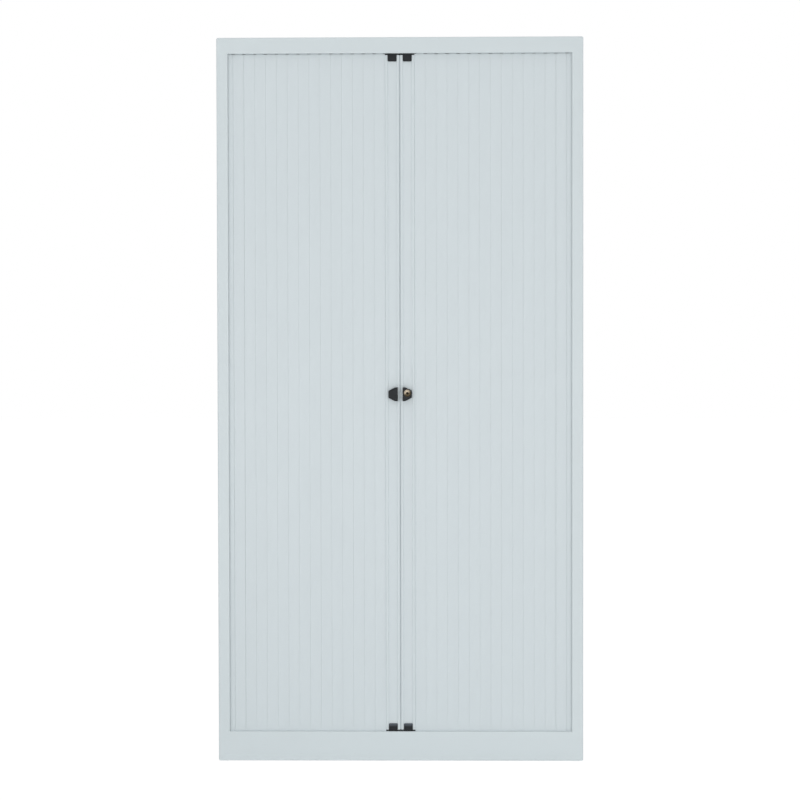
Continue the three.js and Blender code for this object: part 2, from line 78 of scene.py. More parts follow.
# Curtains
SLATS = sum(1 for name in frame["nodes"] if name.startswith("right_slat_"))
SLAT_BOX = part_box("right_slat_1")
SLAT_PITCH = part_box("right_slat_2")[0].x - SLAT_BOX[0].x
SEAT = 0.0003  # play between two pieces that rest on each other
SLAT_WIDTH = SLAT_PITCH - SEAT
SLAT_X = SLAT_BOX[1].x - SLAT_WIDTH
SLAT_GAP = 0.00008  # open line between two faces
WIDE_GAP = 0.0003  # the same beside the stiles, where the curtain begins to turn
WIDE_GAPS = 2
SLAT_FACE = SLAT_BOX[0].y
SLAT_DEPTH = SLAT_BOX[1].y - SLAT_FACE
SLAT_SKIN = 0.002  # thickness of the face in front of the tongue
SLAT_EDGE = 0.00022
TONGUE_REACH = SLAT_X - SLAT_BOX[0].x
TONGUE = 0.002
RUNNING = 0.0005  # play between two pieces that move in each other
SOCKET = 0.004
SOCKET_LIP = 0.0012
PIN_LENGTH = 0.020
PIN_DEPTH = 0.005
PIN_FRONT = SLAT_FACE + (SLAT_DEPTH - PIN_DEPTH) / 2
SLAT_LOW = PLINTH_TOP - 0.003  # behind the plinth
SLAT_HIGH = RAIL_Z - 0.0008  # under the rail

# Leading profiles
LEAD_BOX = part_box("right_lead")
LEAD_X = LEAD_BOX[0].x
LEAD_END = LEAD_BOX[1].x
LEAD_FACE = LEAD_BOX[0].y
LEAD_DEPTH = LEAD_BOX[1].y - LEAD_FACE
LEAD_BAND = 0.007  # width of the raised band at each edge
LEAD_CHANNEL = 0.002  # depth of the channel between them
LEAD_ROUND = 0.0012
LAP_DEPTH = 0.004  # the left profile's lap, behind its face
LAP_REACH = 0.003
LAP_THICKNESS = 0.002
FLANGE = 0.0035  # thickness of the shoes' flange
LOW_SHOE_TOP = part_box("left_bottom_shoe")[1].z
SHOE_HALF = (LEAD_END - LEAD_X) / 2 - LEAD_BAND - SEAT
SHOE_CORNER = 0.003
SHOE_EDGE = 0.0006
SHOE_NOSE = 0.0055  # how far the pad falls back towards its tip
SHOE_TAPER = 0.12  # the sides' share of that
SHOE_STEPS = 8

# Grips and lock
GRIP_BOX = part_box("left_grip")
# The outline's corners, as shares of the width and of the height from the middle, and their fillets
GRIP_OUTLINE_SHARES = ((0, -0.5), (0.3, -0.5), (1, -0.26), (1, 0.26), (0.3, 0.5), (0, 0.5))
GRIP_CORNERS = (0.0008, 0.003, 0.0022, 0.0022, 0.003, 0.0008)
GRIP_SLOPE = 0.0026  # how far the front face is drawn in
GRIP_STEPS = (  # (share of the depth, share of the slope)
    (0.0, 1.0),
    (0.035, 0.55),
    (0.10, 0.22),
    (0.22, 0.06),
    (0.45, 0.0),
    (1.0, 0.0),
)
BOSS_RADIUS = 0.0125
FINE_TURN = 64  # points round the boss and the barrel
BARREL_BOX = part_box("lock_barrel")
BARREL_RADIUS = (BARREL_BOX[1].x - BARREL_BOX[0].x) / 2
BARREL_X = (BARREL_BOX[0].x + BARREL_BOX[1].x) / 2
BARREL_Z = (BARREL_BOX[0].z + BARREL_BOX[1].z) / 2
BARREL_PLAY = 0.0002
KEYWAY = (0.0016, 0.008)  # width and height
KEYWAY_DEPTH = 0.006
KEY_HOLE = 0.0034  # radius of the sunk middle
KEY_SINK = 0.0012
SPIGOT_RADIUS = 0.004

# Linings and shelves
SHELVES_AND_FEET = 4  # of each
LINER_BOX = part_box("right_liner")
SLOT_SIZE = (0.0045, 0.020)  # width and height
SLOT_PITCH = 0.075
SLOT_RISE = 0.060  # from the plinth's top to the lowest slot
SLOT_INSET = 0.060
SLOT_ROUNDING = 0.45  # share of the slot's width
SLOT_POINTS = 3
SLOT_REACH = 4 * SHEET
SHELF_HEM = 0.010
SHELF_REAR = 0.015
TAB_SIZE = (0.0035, 0.016)  # thickness and height
TAB_DROP = 0.003  # of the hook behind the lining
SHELF_CLEAR = 0.0012  # from each lining
SHELF_EDGE = 0.0002

# Rivets, ribs and feet
RIVET_RADIUS = 0.0034
RIVET_RISE = 0.0012
RIVET_PITCH = 0.150
RIVET_INSET = 0.034
RIB_WIDTH = 0.016
RIB_CLEAR = 0.090  # from the rear panel's ends
RIB_PLACES = (-0.5, 0, 0.5)  # shares of the half width
RIB_END = 0.98  # share of the rib's half width that its ends are rounded by
RIB_STEPS = (  # (rise, draw-in)
    (-0.0005, 0),
    (0, 0),
    (0.0005, 0.0009),
    (0.0009, 0.0022),
    (0.0011, 0.0042),
)
FOOT_THICKNESS = 0.008
STUD_RADIUS = 0.005
THREAD_PITCH = 0.0015
THREAD_DEPTH = 0.0007
THREAD_START = 1.5  # in foot thicknesses
THREAD_ENDS = 1.6  # left plain, the same way

# Meshes
AXIS = 0.00001  # the radius that stands for a turned piece's axis
MERGE = 1e-6  # distance under which points are one
FLAT_ANGLE = 0.5  # degrees under which faces are one

# Paint and plastic, as linear colours
PAINT = (0.622, 0.686, 0.708, 1)
SLAT_PAINT = (0.618, 0.680, 0.705, 1)
BLACK = (0.0125, 0.0145, 0.0170, 1)
BRASS = (0.42, 0.36, 0.28, 1)
# Brass darkened as painted shade, for the lock's lower and right side
PAINTED_SHADE_BRASS = (0.075, 0.058, 0.037, 1)
ZINC = (0.58, 0.59, 0.60, 1)
TRACK_GREY = (0.33, 0.35, 0.36, 1)

# Wear and texture, and the lock's painted highlight and shade
MIDDLE = (0.3, 0.7)  # where most of a noise pattern's values lie
SCUFF_HEIGHT = 0.09
SCUFF_STRENGTH = 0.22
SCUFF_STRETCH = (14, 14, 90)
ALONG_SLAT = (1, 1, 0.02)  # stretch of the die lines
BRUSHING = (1, 1, 0.05)
GRAIN_SHARE = 0.35
FLOOR_DUST = 0.006  # height of the dust on the feet
MOTTLE = 0.010  # how far the edge between the lock's painted highlight and painted shade wanders
HIGHLIGHT_LEAN = 0.45  # how far the lock's painted highlight leans to the left
PAINTED_HIGHLIGHT_SPAN = (BARREL_RADIUS * 0.40, BARREL_RADIUS * 1.15)  # up the lock's face, from painted shade to painted highlight
# Edge of the painted shade in the key hole
HOLE_SHADE_EDGE = (KEY_HOLE * 0.85, KEY_HOLE * 1.15)
# Painted shade round the lock's rim, strongest low down
RIM_SHADE = (BARREL_RADIUS * 0.84, BARREL_RADIUS * 0.98)
RIM_SHADE_HEIGHT = (-BARREL_RADIUS * 0.2, BARREL_RADIUS * 0.7)
RIM_SHADE_STRENGTH = 0.85

# The photograph's view
CAMERA_PLACE = (0.0638, -5.0, 1.0877)
CAMERA_YAW = 0.77  # degrees to the left
CAMERA_PITCH = -1.152
CAMERA_ROLL = -0.1026
CAMERA_LENS = 78.92
SENSOR = 36

# The studio
WHITE = (1, 1, 1, 1)
WORLD_STRENGTH = 0.56
FLOOR_TONE = 0.95
FLOOR_ROUGHNESS = 0.9
FLOOR_GLOW = 1.16
FLOOR_GLOW_SHARE = 0.75
FLOOR_REACH = 30
LAMPS = (  # name, place, target, size, power
    ("front_key", (-1.6, -4.2, 0.7), (0, 0, 0.25), (3.0, 1.6), 25.2),
    ("front_fill", (2.4, -4.4, 0.7), (0, 0, 0.25), (2.6, 1.6), 25),
    ("behind_camera", (0.1, -4.9, 0.7), (0, 0, 0.5), (1.2, 2.5), 26.6),
    ("top_catch", (-1.3, -3.0, 4.2), (0, -0.2, 1.0), (0.5, 0.5), 7),
    ("overhead", (0, -0.9, 4.4), (0, -0.5, 0), (2.4, 1.0), 13),
    ("rear_rake", (3.4, 1.6, 2.6), (0, 0.2, 0.9), (0.8, 0.8), 26),
)


# Node trees

class Tree:
    """A node tree with short ways to add, wire and lay out its nodes."""

    def __init__(self, tree):
        self.tree = tree
        self.count = 0

    def add(self, kind, inputs=None, **settings):
        """A new node with its settings, then with a value or a socket for each named input."""
        node = self.tree.nodes.new(kind)
        node.location = (180 * (self.count % 12), -240 * (self.count // 12))
        self.count += 1
        for key, value in settings.items():
            setattr(node, key, value)
        for key, value in (inputs or {}).items():
            self.feed(node.inputs[key], value)
        return node

    def link(self, source, target):
        self.tree.links.new(source, target)

    def feed(self, socket, value):
        """Links a socket to the input, or sets the input to a plain value."""
        if isinstance(value, bpy.types.NodeSocket):
            self.link(value, socket)
        else:
            socket.default_value = value

    def math(self, operation, a, b=0.0):
        return self.add("ShaderNodeMath", {0: a, 1: b}, operation=operation).outputs[0]

    def times(self, a, b):
        return self.math("MULTIPLY", a, b)

    def vector(self, x=0.0, y=0.0, z=0.0):
        return self.add("ShaderNodeCombineXYZ", {0: x, 1: y, 2: z}).outputs[0]

    def axes(self, place):
        """A vector's parts, by the names X, Y and Z."""
        return self.add("ShaderNodeSeparateXYZ", {0: place}).outputs


# Materials

class Finish(Tree):
    """A material's tree, with its shader, its output and the object's own coordinates."""

    def __init__(self, name):
        self.material = bpy.data.materials.new(name)
        self.material.use_nodes = True
        self.material.node_tree.nodes.clear()
        super().__init__(self.material.node_tree)
        self.shader = self.add("ShaderNodeBsdfPrincipled")
        self.output = self.add("ShaderNodeOutputMaterial", {"Surface": self.shader.outputs["BSDF"]})
        self.place = self.placed()

    def placed(self, stretch=(1, 1, 1), shift=(0, 0, 0)):
        """Object coordinates, stretched and shifted."""
        place = self.add("ShaderNodeTexCoord").outputs["Object"]
        given = {"Vector": place, "Scale": stretch, "Location": shift}
        return self.add("ShaderNodeMapping", given).outputs["Vector"]

    def noise(self, scale, detail=2.0, roughness=0.5, place=None):
        place = self.place if place is None else place
        given = {"Vector": place, "Scale": scale, "Detail": detail, "Roughness": roughness}
        return self.add("ShaderNodeTexNoise", given).outputs["Fac"]

    def ramp(self, value, low, high, start=0.0, end=1.0):
        """A value mapped from low..high to start..end and held there."""
        given = {"Value": value, "From Min": low, "From Max": high, "To Min": start, "To Max": end}
        return self.add("ShaderNodeMapRange", given).outputs["Result"]

    def blend(self, share, first, second):
        """The first colour, giving way to the second by its share."""
        given = {"Factor": share, "A": first, "B": second}
        return self.add("ShaderNodeMix", given, data_type="RGBA").outputs["Result"]

    def surface(self, colour, patches, roughness, relief, strength, depth,
                spread=MIDDLE, specular=0.5, metallic=0.0):
        """The material, with its roughness wandering over a noise pattern and its relief as bump."""
        bumped = {"Height": relief, "Strength": strength, "Distance": depth}
        given = {
            "Base Color": colour,
            "Roughness": self.ramp(patches, *spread, *roughness),
            "Normal": self.add("ShaderNodeBump", bumped).outputs["Normal"],
            "Specular IOR Level": specular,
            "Metallic": metallic,
        }
        for name, value in given.items():
            self.feed(self.shader.inputs[name], value)
        return self.material


def shaded(colour, share):
    """The colour made darker or lighter by a factor."""
    return tuple(c * share for c in colour[:3]) + (1,)


def powder_coat():
    """Pale powder coat: a fine orange peel, a faint cast in large patches, and scuffs near the floor."""
    coat = Finish("powder_coat")
    cast = coat.ramp(coat.noise(2.2, detail=3), *MIDDLE)
    tone = coat.blend(cast, shaded(PAINT, 0.992), shaded(PAINT, 1.008))
    low_down = coat.ramp(coat.axes(coat.place)["Z"], 0.0, SCUFF_HEIGHT, 1.0, 0.0)
    streaks = coat.noise(3.0, detail=6, roughness=0.65, place=coat.placed(SCUFF_STRETCH))
    rubbed = coat.ramp(streaks, 0.60, 0.72)
    scuffs = coat.times(coat.times(low_down, rubbed), SCUFF_STRENGTH)
    return coat.surface(
        colour=coat.blend(scuffs, tone, shaded(PAINT, 0.72)),
        patches=coat.noise(35, detail=4),
        spread=(0.25, 0.75),
        roughness=(0.40, 0.50),
        relief=coat.noise(420, roughness=0.4),
        strength=0.10,
        depth=0.0004,
        specular=0.4,
    )


def slat_plastic():
    """Extruded plastic in the carcass's colour: die lines along its length and a satin face."""
    coat = Finish("slat_plastic")
    run = coat.placed(ALONG_SLAT)
    cast = coat.ramp(coat.noise(30, detail=3, place=run), *MIDDLE)
    lines = coat.noise(900, detail=3, roughness=0.6, place=run)
    grain = coat.times(coat.noise(700), GRAIN_SHARE)
    return coat.surface(
        colour=coat.blend(cast, shaded(SLAT_PAINT, 0.993), shaded(SLAT_PAINT, 1.006)),
        patches=coat.noise(18, detail=3),
        roughness=(0.44, 0.54),
        relief=coat.math("ADD", lines, grain),
        strength=0.09,
        depth=0.0003,
        specular=0.4,
    )


def black_plastic():
    """Moulded plastic with a fine grain, greyer where it is handled, and a painted highlight towards the
    lower shoes' tips.
    """
    coat = Finish("black_plastic")
    handled = coat.ramp(coat.noise(90, detail=4, roughness=0.6), 0.45, 0.8)
    plastic = coat.blend(handled, BLACK, shaded(BLACK, 1.5))
    height = coat.axes(coat.place)["Z"]
    # Painted highlight, lighter towards the lower shoes' tips where they face up
    painted_tip_highlight = coat.ramp(height, (PLINTH_TOP + FLANGE + LOW_SHOE_TOP) / 2, LOW_SHOE_TOP)
    below = coat.ramp(height, LOW_SHOE_TOP + FLANGE, LOW_SHOE_TOP + 2 * FLANGE, 1.0, 0.0)
    return coat.surface(
        colour=coat.blend(coat.times(painted_tip_highlight, below), plastic, shaded(BLACK, 8.0)),
        patches=coat.noise(240, detail=3),
        roughness=(0.34, 0.48),
        relief=coat.noise(2600),
        strength=0.22,
        depth=0.0002,
        specular=0.16,
    )


def lock_metal():
    """Turned brass with a painted highlight up and to the left, painted shade below and to the right,
    round the lower rim and in the key hole.
    """
    coat = Finish("turned_brass")
    centre = coat.placed(shift=(-BARREL_X, 0, -BARREL_Z))
    parts = coat.axes(centre)
    flat = coat.vector(parts["X"], 0.0, parts["Z"])
    away = coat.add("ShaderNodeVectorMath", {0: flat}, operation="LENGTH").outputs["Value"]
    mottle = coat.times(coat.noise(420, detail=5, roughness=0.65), MOTTLE)
    # Painted highlight up and to the left, giving way to painted shade below and to the right
    leaning = coat.math("SUBTRACT", parts["Z"], coat.times(parts["X"], HIGHLIGHT_LEAN))
    height = coat.math("ADD", leaning, mottle)
    tone = coat.blend(coat.ramp(height, *PAINTED_HIGHLIGHT_SPAN), PAINTED_SHADE_BRASS, BRASS)
    # Painted shade over the sunk key hole, kept to the front face
    face = BARREL_BOX[0].y + KEYWAY_DEPTH
    near = coat.ramp(parts["Y"], face, face + SHEET, 1.0, 0.0)
    hole = coat.times(coat.ramp(away, *HOLE_SHADE_EDGE, 1.0, 0.0), near)
    # Painted shade round the barrel's rim, fading out towards the top
    rim = coat.times(coat.ramp(away, *RIM_SHADE), coat.ramp(parts["Z"], *RIM_SHADE_HEIGHT, 1.0, 0.0))
    painted_shade = coat.math("MAXIMUM", hole, coat.times(rim, RIM_SHADE_STRENGTH))
    given = {"Vector": centre, "Scale": 900, "Distortion": 1.5}
    rings = coat.add("ShaderNodeTexWave", given, wave_type="RINGS", rings_direction="Y")
    return coat.surface(
        colour=coat.blend(painted_shade, tone, shaded(PAINTED_SHADE_BRASS, 0.10)),
        patches=coat.noise(500, detail=3),
        roughness=(0.22, 0.38),
        relief=rings.outputs["Fac"],
        strength=0.08,
        depth=0.0001,
        metallic=1,
    )


def zinc_plate():
    """Bright zinc on pressed steel: soft spangle and fine brushing."""
    coat = Finish("zinc_plate")
    spangle = coat.add("ShaderNodeTexVoronoi", {"Vector": coat.place, "Scale": 320})
    share = coat.ramp(spangle.outputs["Distance"], 0.0, 0.8)
    return coat.surface(
        colour=coat.blend(share, ZINC, shaded(ZINC, 0.82)),
        patches=coat.noise(140, detail=4),
        roughness=(0.28, 0.46),
        relief=coat.noise(2200, place=coat.placed(BRUSHING)),
        strength=0.06,
        depth=0.0001,
        metallic=1,
    )


def track_plastic():
    """Grey slide plastic with a burnished, slightly dusty run."""
    coat = Finish("track_plastic")
    dust = coat.ramp(coat.noise(24, detail=5, roughness=0.6), 0.4, 0.7)
    return coat.surface(
        colour=coat.blend(dust, TRACK_GREY, shaded(TRACK_GREY, 1.25)),
        patches=coat.noise(60, detail=3),
        roughness=(0.48, 0.66),
        relief=coat.noise(900),
        strength=0.12,
        depth=0.0003,
    )


def foot_plastic():
    """Black moulded foot, dusty where it meets the floor."""
    coat = Finish("foot_plastic")
    near_floor = coat.ramp(coat.axes(coat.place)["Z"], 0.0, FLOOR_DUST, 0.8, 0.1)
    dust = coat.times(near_floor, coat.ramp(coat.noise(120, detail=5), 0.4, 0.7))
    return coat.surface(
        colour=coat.blend(dust, BLACK, shaded(BLACK, 4.0)),
        patches=coat.noise(300, detail=3),
        roughness=(0.5, 0.7),
        relief=coat.noise(1800),
        strength=0.25,
        depth=0.0003,
    )


# Mesh helpers

def new_object(name, data):
    """A new object in the scene."""
    piece = bpy.data.objects.new(name, data)
    bpy.context.scene.collection.objects.link(piece)
    return piece


def mesh_piece(name, vertices, faces):
    """A mesh object with its doubled points merged and its faces turned outwards."""
    mesh = bpy.data.meshes.new(name)
    mesh.from_pydata([tuple(v) for v in vertices], [], faces)
    made = bmesh.new()
    made.from_mesh(mesh)
    bmesh.ops.remove_doubles(made, verts=made.verts, dist=MERGE)
    bmesh.ops.recalc_face_normals(made, faces=made.faces)
    made.to_mesh(mesh)
    made.free()
    return new_object(name, mesh)


def along(axis, a, b, c):
    """A section's point (a, b) at c on the axis that the section is drawn along."""
    return {"X": (c, a, b), "Y": (a, c, b), "Z": (a, b, c)}[axis]


def prism(name, outline, low, high, axis="Z"):
    """A closed outline drawn along an axis from low to high."""
    count = len(outline)
    vertices = [along(axis, a, b, c) for c in (low, high) for a, b in outline]
    sides = [(i, (i + 1) % count, count + (i + 1) % count, count + i) for i in range(count)]
    ends = [tuple(reversed(range(count))), tuple(range(count, 2 * count))]
    return mesh_piece(name, vertices, sides + ends)


def loft(name, sections):
    """Closed rings of equally many points, joined in order, with their ends filled."""
    count = len(sections[0])
    vertices = [point for section in sections for point in section]
    faces = [tuple(range(count)), tuple(range(len(vertices) - count, len(vertices)))]
    for ring in range(len(sections) - 1):
        for i in range(count):
            j = (i + 1) % count
            a, b = ring * count, (ring + 1) * count
            faces.append((a + i, a + j, b + j, b + i))
    return mesh_piece(name, vertices, faces)


def turned(name, profile, x, y, z, axis="Z", segments=48):
    """A profile of (radius, place) points turned about an axis through (x, y, z)."""
    rings = []
    for radius, place in profile:
        ring = []
        for i in range(segments):
            angle = 2 * math.pi * i / segments
            a, b = radius * math.cos(angle), radius * math.sin(angle)
            ring.append(Vector((x, y, z)) + Vector(along(axis, a, b, place)))
        rings.append(ring)
    return loft(name, rings)


def arc(centre, radius, start, end, steps):
    """Points on an arc between two unit directions, both ends included."""
    first = math.atan2(start[1], start[0])
    turn = math.atan2(end[1], end[0]) - first
    turn = (turn + math.pi) % (2 * math.pi) - math.pi
    angles = [first + turn * i / steps for i in range(steps + 1)]
    return [(centre[0] + radius * math.cos(t), centre[1] + radius * math.sin(t)) for t in angles]


def rounded(points, radii, steps=4):
    """A closed outline with a fillet of its own radius at each corner."""
    result = []
    count = len(points)
    for i, (point, radius) in enumerate(zip(points, radii)):
        if radius <= 0:
            result.append(point)
            continue
        here = Vector(point)
        back = (Vector(points[i - 1]) - here).normalized()
        ahead = (Vector(points[(i + 1) % count]) - here).normalized()
        half = back.angle(ahead) / 2
        reach = radius / math.tan(half)
        centre = here + (back + ahead).normalized() * radius / math.sin(half)
        start = here + back * reach - centre
        end = here + ahead * reach - centre
        result += arc(centre, radius, start, end, steps)
    return result


def rounded_section(corners, face, steps):
    """An outline in plan from (x, depth behind the face, fillet radius) corners."""
    points = [(x, face + depth) for x, depth, _ in corners]
    return rounded(points, [radius for _, _, radius in corners], steps)


def bent_strip(path, thickness, bends, steps=5):
    """The outline of bent sheet. Its outer face follows the path and its thickness lies to the left."""
    points = [Vector(p) for p in path]
    ways = [(b - a).normalized() for a, b in zip(points, points[1:])]
    lefts = [Vector((-w.y, w.x)) for w in ways]
    outer, inner = [tuple(points[0])], [tuple(points[0] + lefts[0] * thickness)]
    for i, bend in enumerate(bends):
        corner, before, after = points[i + 1], ways[i], ways[i + 1]
        left, next_left = lefts[i], lefts[i + 1]
        turn = before.x * after.y - before.y * after.x
        half = before.angle(after) / 2
        side = 1 if turn > 0 else -1
        outer_radius = bend + thickness if turn > 0 else bend
        inner_radius = bend if turn > 0 else bend + thickness
        centre = corner - before * outer_radius * math.tan(half) + left * side * outer_radius
        start, end = -side * left, -side * next_left
        outer += arc(centre, outer_radius, start, end, steps)
        inner += arc(centre, inner_radius, start, end, steps)
    outer.append(tuple(points[-1]))
    inner.append(tuple(points[-1] + lefts[-1] * thickness))
    return outer, inner


def bent_sheet(name, path, low, high, axis, bends=None):
    """A bent sheet drawn along an axis, with four-sided faces only."""
    outer, inner = bent_strip(path, SHEET, bends or [BEND] * (len(path) - 2))
    count = len(outer)
    rows = [[along(axis, a, b, c) for a, b in edge] for c in (low, high) for edge in (outer, inner)]
    vertices = [point for row in rows for point in row]
    outer_low, inner_low, outer_high, inner_high = (i * count for i in range(4))
    faces = [
        (outer_low, outer_high, inner_high, inner_low),
        tuple(start + count - 1 for start in (outer_low, inner_low, inner_high, outer_high)),
    ]
    for i in range(count - 1):
        for first, second in (
            (outer_low, outer_high),
            (inner_high, inner_low),
            (inner_low, outer_low),
            (outer_high, inner_high),
        ):
            faces.append((first + i, first + i + 1, second + i + 1, second + i))
    return mesh_piece(name, vertices, faces)


def block(name, low, high):
    """A plain block, for cutting and welding."""
    outline = [(low[0], low[1]), (high[0], low[1]), (high[0], high[1]), (low[0], high[1])]
    return prism(name, outline, low[2], high[2])


def settle(piece):
    """The piece as a plain mesh object with its modifiers applied, under the same name."""
    depsgraph = bpy.context.evaluated_depsgraph_get()
    mesh = bpy.data.meshes.new_from_object(piece.evaluated_get(depsgraph), depsgraph=depsgraph)
    name = piece.name
    bpy.data.objects.remove(piece)
    return new_object(name, mesh)


def combine(base, tools, operation):
    """The base after a boolean with each tool in turn. The tools are used up."""
    for tool in tools:
        change = base.modifiers.new("combine", "BOOLEAN")
        change.operation = operation
        change.solver = "EXACT"
        change.object = tool
        base = settle(base)
        bpy.data.objects.remove(tool)
    return base


def weld(base, *tools):
    """The base with the tools joined to it."""
    return combine(base, tools, "UNION")


def cut(base, *tools):
    """The base with the tools cut from it."""
    return combine(base, tools, "DIFFERENCE")


def tidy_mesh(piece):
    """Merges doubled points and the flat faces that a boolean or a triangulated solid leaves split."""
    made = bmesh.new()
    made.from_mesh(piece.data)
    bmesh.ops.remove_doubles(made, verts=made.verts, dist=2 * MERGE)
    flat = math.radians(FLAT_ANGLE)
    bmesh.ops.dissolve_limit(made, angle_limit=flat, verts=made.verts, edges=made.edges)
    made.to_mesh(piece.data)
    made.free()


def smooth(piece, angle=35):
    """Smooth shading between the piece's real edges, with its wide faces kept flat in it."""
    piece.data.shade_smooth()
    piece.data.set_sharp_from_angle(angle=math.radians(angle))
    weigh = piece.modifiers.new("even_shading", "WEIGHTED_NORMAL")
    weigh.keep_sharp = True


def broken_edges(piece, size, segments=2, angle=35):
    """Small bevels on the piece's real edges."""
    bevel = piece.modifiers.new("broken_edges", "BEVEL")
    bevel.width = size
    bevel.segments = segments
    bevel.limit_method = "ANGLE"
    bevel.angle_limit = math.radians(angle)
    bevel.harden_normals = True
    bevel.miter_outer = "MITER_ARC"
    smooth(piece, angle)


def fit(piece, material, slot, *nodes):
    """Gives the piece its finish, and lets it stand for its nodes on their body."""
    piece.data.materials.clear()
    piece.data.materials.append(material)
    bodies = frame["record"]["behaviour"]["bodies"]
    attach(piece, next(body for body, names in bodies.items() if nodes[0] in names))
    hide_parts(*nodes)


def mirrored(points, side):
    """An outline of the right side for either side, with its turning sense kept."""
    placed = [(side * x, y) for x, y in points]
    return placed if side > 0 else placed[::-1]


# Geometry node trees

def geometry_tree(name, counts, measures):
    """A tree with a geometry in and out, its whole and real numbers by name, and a material."""
    group = bpy.data.node_groups.new(name, "GeometryNodeTree")
    group.interface.new_socket("Geometry", in_out="OUTPUT", socket_type="NodeSocketGeometry")
    kinds = {"Geometry": ["Geometry"], "Int": counts, "Float": measures, "Material": ["Material"]}
    for kind, labels in kinds.items():
        for label in labels:
            group.interface.new_socket(label, in_out="INPUT", socket_type="NodeSocket" + kind)
    tree = Tree(group)
    return group, tree, tree.add("NodeGroupInput").outputs


def finish_tree(tree, geometry, material):
    """Ends a tree in real geometry that carries its material."""
    real = tree.add("GeometryNodeRealizeInstances", {0: geometry}).outputs[0]
    painted = tree.add("GeometryNodeSetMaterial", {"Geometry": real, "Material": material})
    tree.add("NodeGroupOutput", {0: painted.outputs[0]})


def joined(tree, parts):
    """The parts as one geometry, in their order."""
    node = tree.add("GeometryNodeJoinGeometry")
    for part in parts:
        tree.link(part, node.inputs[0])
    return node.outputs[0]


def shape_by(piece, group, values):
    """Runs a tree on the piece with the named values, and gives the plain mesh piece that it makes."""
    modifier = piece.modifiers.new(group.name, "NODES")
    modifier.node_group = group
    for item in group.interface.items_tree:
        if item.in_out == "INPUT" and item.name in values:
            modifier[item.identifier] = values[item.name]
    return settle(piece)


def raised(tree, flat, height):
    """A flat face given a thickness along Z and closed below."""
    given = {"Mesh": flat, "Offset": tree.vector(z=height), "Offset Scale": 1, "Individual": False}
    up = tree.add("GeometryNodeExtrudeMesh", given).outputs["Mesh"]
    under = tree.add("GeometryNodeFlipFaces", {"Mesh": flat}).outputs["Mesh"]
    given = {"Geometry": joined(tree, [up, under]), "Distance": MERGE}
    return tree.add("GeometryNodeMergeByDistance", given).outputs[0]


def moved(tree, geometry, place, turn=(0, 0, 0)):
    """The geometry turned, then moved to a place."""
    given = {"Geometry": geometry, "Translation": place, "Rotation": turn}
    return tree.add("GeometryNodeTransform", given).outputs[0]


def slat_tree():
    """One slat of a curtain by its number: its section drawn upright, with a guide pin at each end."""
    pin_measures = ["Pin Middle", "Pin Front", "Pin Length", "Pin Depth", "Pin Low", "Pin High"]
    measures = ["Side", "Pitch", "Low", "High"] + pin_measures
    group, tree, given = geometry_tree("slat_by_number", ["Number"], measures)
    steps = tree.math("SUBTRACT", given["Number"], 1.0)
    across = tree.times(tree.times(steps, given["Pitch"]), given["Side"])
    face = tree.add("GeometryNodeFillCurve", {"Curve": given["Geometry"]}, mode="NGONS")
    placed = moved(tree, face.outputs[0], tree.vector(across, 0.0, given["Low"]))
    parts = [raised(tree, placed, tree.math("SUBTRACT", given["High"], given["Low"]))]
    pin_x = tree.math("ADD", across, tree.times(given["Side"], given["Pin Middle"]))
    pin_y = tree.math("ADD", given["Pin Front"], tree.times(given["Pin Depth"], 0.5))
    for inner, outer in ((given["Low"], given["Pin Low"]), (given["High"], given["Pin High"])):
        span = tree.math("ABSOLUTE", tree.math("SUBTRACT", outer, inner))
        size = tree.vector(given["Pin Length"], given["Pin Depth"], span)
        pin = tree.add("GeometryNodeMeshCube", {"Size": size}).outputs["Mesh"]
        middle = tree.times(tree.math("ADD", inner, outer), 0.5)
        parts.append(moved(tree, pin, tree.vector(pin_x, pin_y, middle)))
    finish_tree(tree, joined(tree, parts), given["Material"])
    return group


def slotted_tree():
    """A lining with a column of round-ended slots cut through it at each of two depths."""
    slot_measures = ["Plane", "Near Column", "Far Column", "Slot Width", "Slot Height", "Reach"]
    measures = ["Pitch", "First Height"] + slot_measures
    group, tree, given = geometry_tree("slotted_lining", ["Rows"], measures)
    size = {"Width": given["Slot Height"], "Height": given["Slot Width"]}
    shape = tree.add("GeometryNodeCurvePrimitiveQuadrilateral", size).outputs[0]
    radius = tree.times(given["Slot Width"], SLOT_ROUNDING)
    rounding = {"Curve": shape, "Radius": radius, "Count": SLOT_POINTS}
    ends = tree.add("GeometryNodeFilletCurve", rounding, mode="POLY").outputs[0]
    face = tree.add("GeometryNodeFillCurve", {"Curve": ends}, mode="NGONS").outputs[0]
    tool = raised(tree, face, given["Reach"])
    back = tree.times(given["Reach"], -0.5)
    tool = moved(tree, tool, tree.vector(z=back))
    tool = moved(tree, tool, tree.vector(), (0, math.pi / 2, 0))
    columns = []
    for column in ("Near Column", "Far Column"):
        start = tree.vector(given["Plane"], given[column], given["First Height"])
        step = tree.vector(z=given["Pitch"])
        places = {"Count": given["Rows"], "Start Location": start, "Offset": step}
        line = tree.add("GeometryNodeMeshLine", places).outputs[0]
        copies = tree.add("GeometryNodeInstanceOnPoints", {"Points": line, "Instance": tool})
        columns.append(copies.outputs[0])
    real = tree.add("GeometryNodeRealizeInstances", {0: joined(tree, columns)}).outputs[0]
    meshes = {"Mesh 1": given["Geometry"], "Mesh 2": real}
    through = tree.add("GeometryNodeMeshBoolean", meshes, operation="DIFFERENCE", solver="EXACT")
    finish_tree(tree, through.outputs["Mesh"], given["Material"])
    return group


